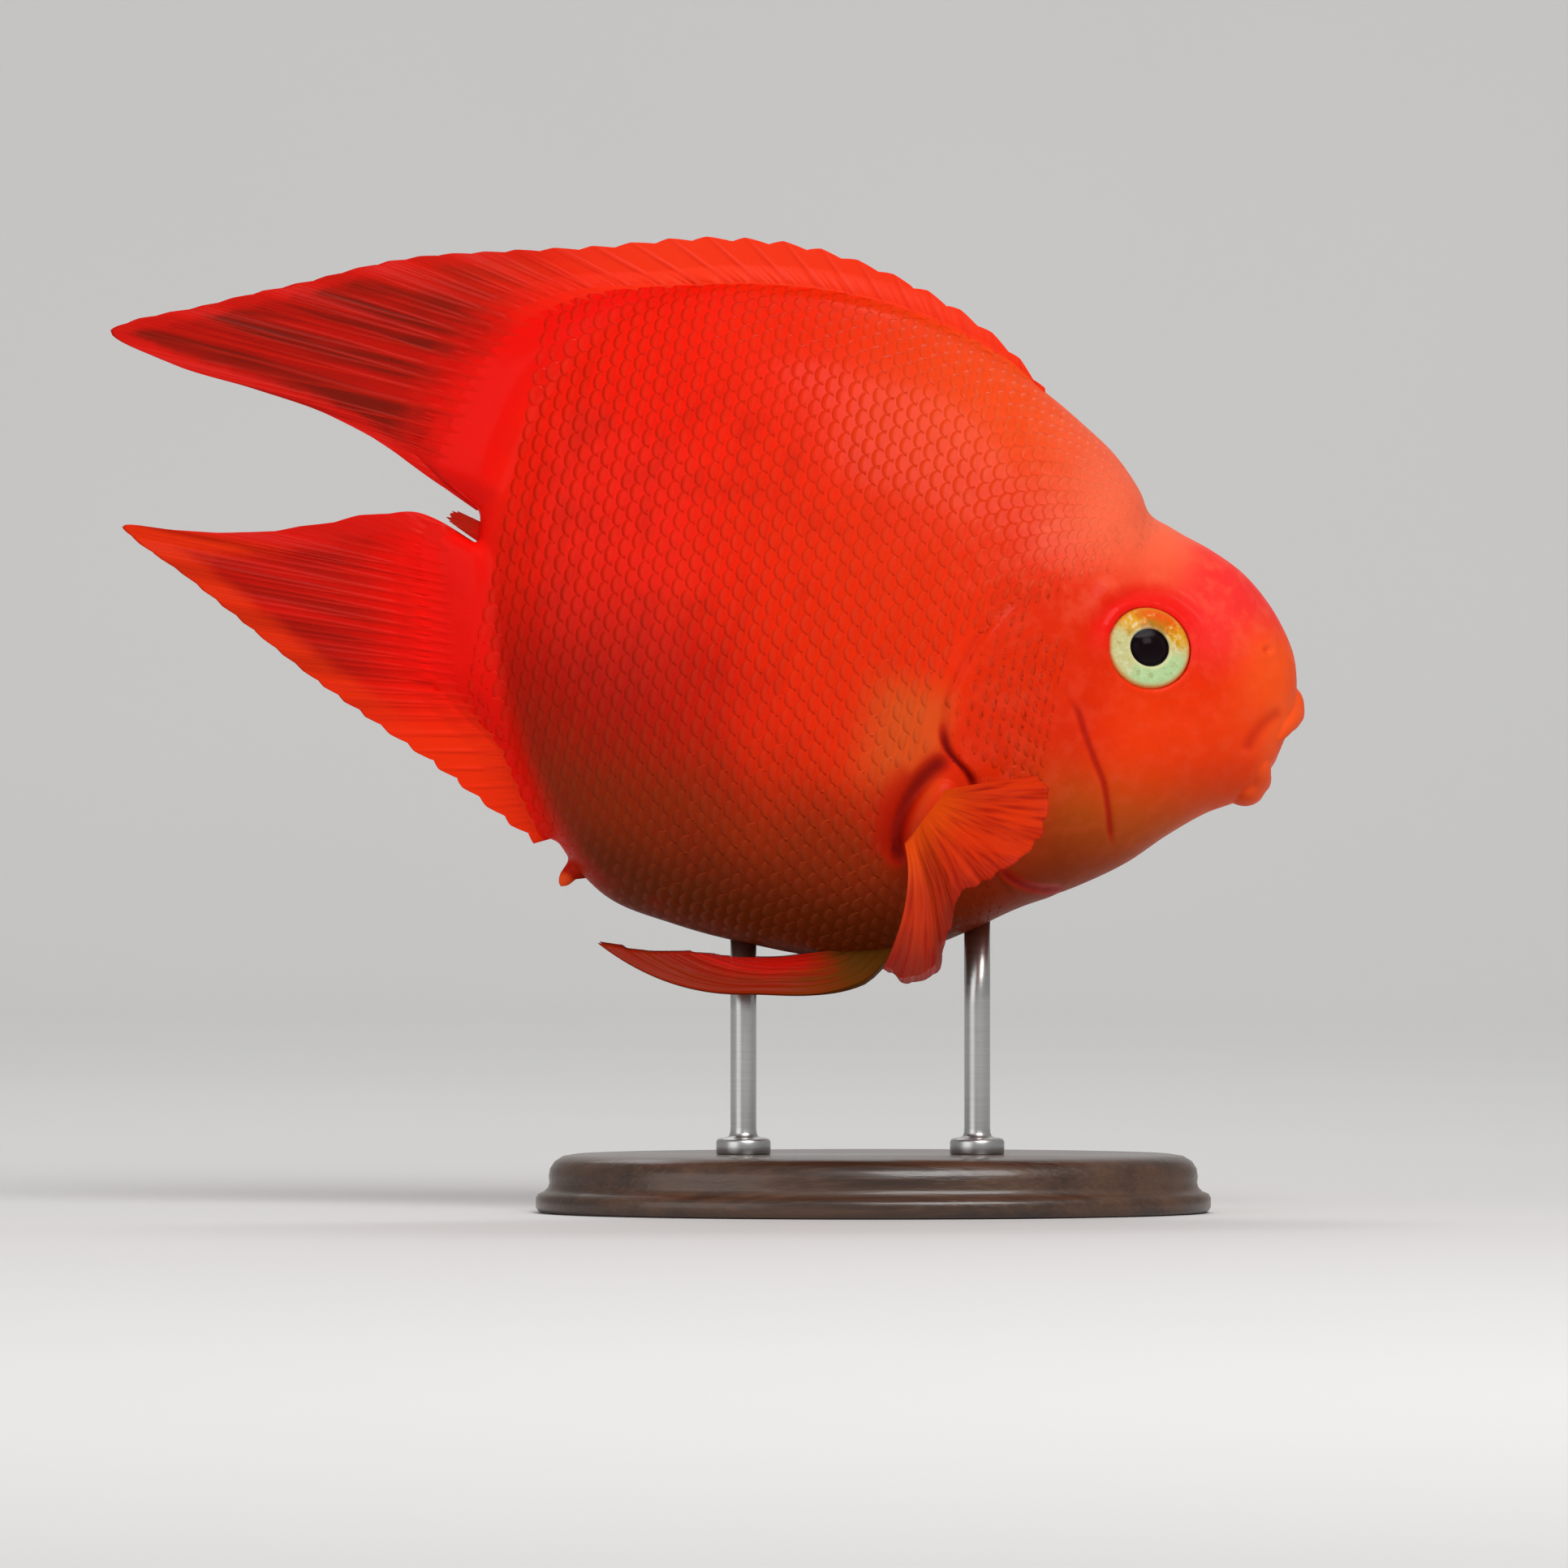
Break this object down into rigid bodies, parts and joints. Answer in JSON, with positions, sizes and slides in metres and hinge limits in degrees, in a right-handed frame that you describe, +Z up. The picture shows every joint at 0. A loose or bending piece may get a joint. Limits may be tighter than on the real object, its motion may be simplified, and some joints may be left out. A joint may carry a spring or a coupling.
{
  "type": "blood parrot cichlid model",
  "caption": "Still, life-size model of a red, heart-shaped parrot cichlid without a tail fin, swimming nose down, held by steel rods over an oval wooden base.",
  "frame": {"origin": "centre of the stand base's underside, which rests on the floor", "axes": "+X towards the fish's head, +Y towards its left side, +Z up; the fish swims nose down by 12 degrees"},
  "size_m": [0.184, 0.0718, 0.1503],
  "materials": {
    "red_skin": "wet, finely scaled fish skin, salmon pink on the forehead and nape, orange red on the flank, deep red at the rear",
    "red_fin": "translucent red fin membrane with paler rays",
    "eye": "clear glossy eye with a golden yellow to pale mint iris and a dark pupil",
    "dark_wood": "dark stained and waxed hardwood",
    "steel": "satin brushed steel"
  },
  "bodies": {
    "root": {"head": "red_skin", "lower_jaw": "red_skin", "gill_cover_right": "red_skin", "gill_cover_left": "red_skin", "trunk": "red_skin", "tail_stub": "red_skin", "eye_right": "eye", "eye_left": "eye", "dorsal_fin": "red_fin", "anal_fin": "red_fin", "tail_fringe": "red_fin", "pectoral_fin_right": "red_fin", "pectoral_fin_left": "red_fin", "pelvic_fin_right": "red_fin", "pelvic_fin_left": "red_fin", "stand_base": "dark_wood", "stand_rod_front": "steel", "stand_rod_back": "steel"}
  },
  "joints": []
}
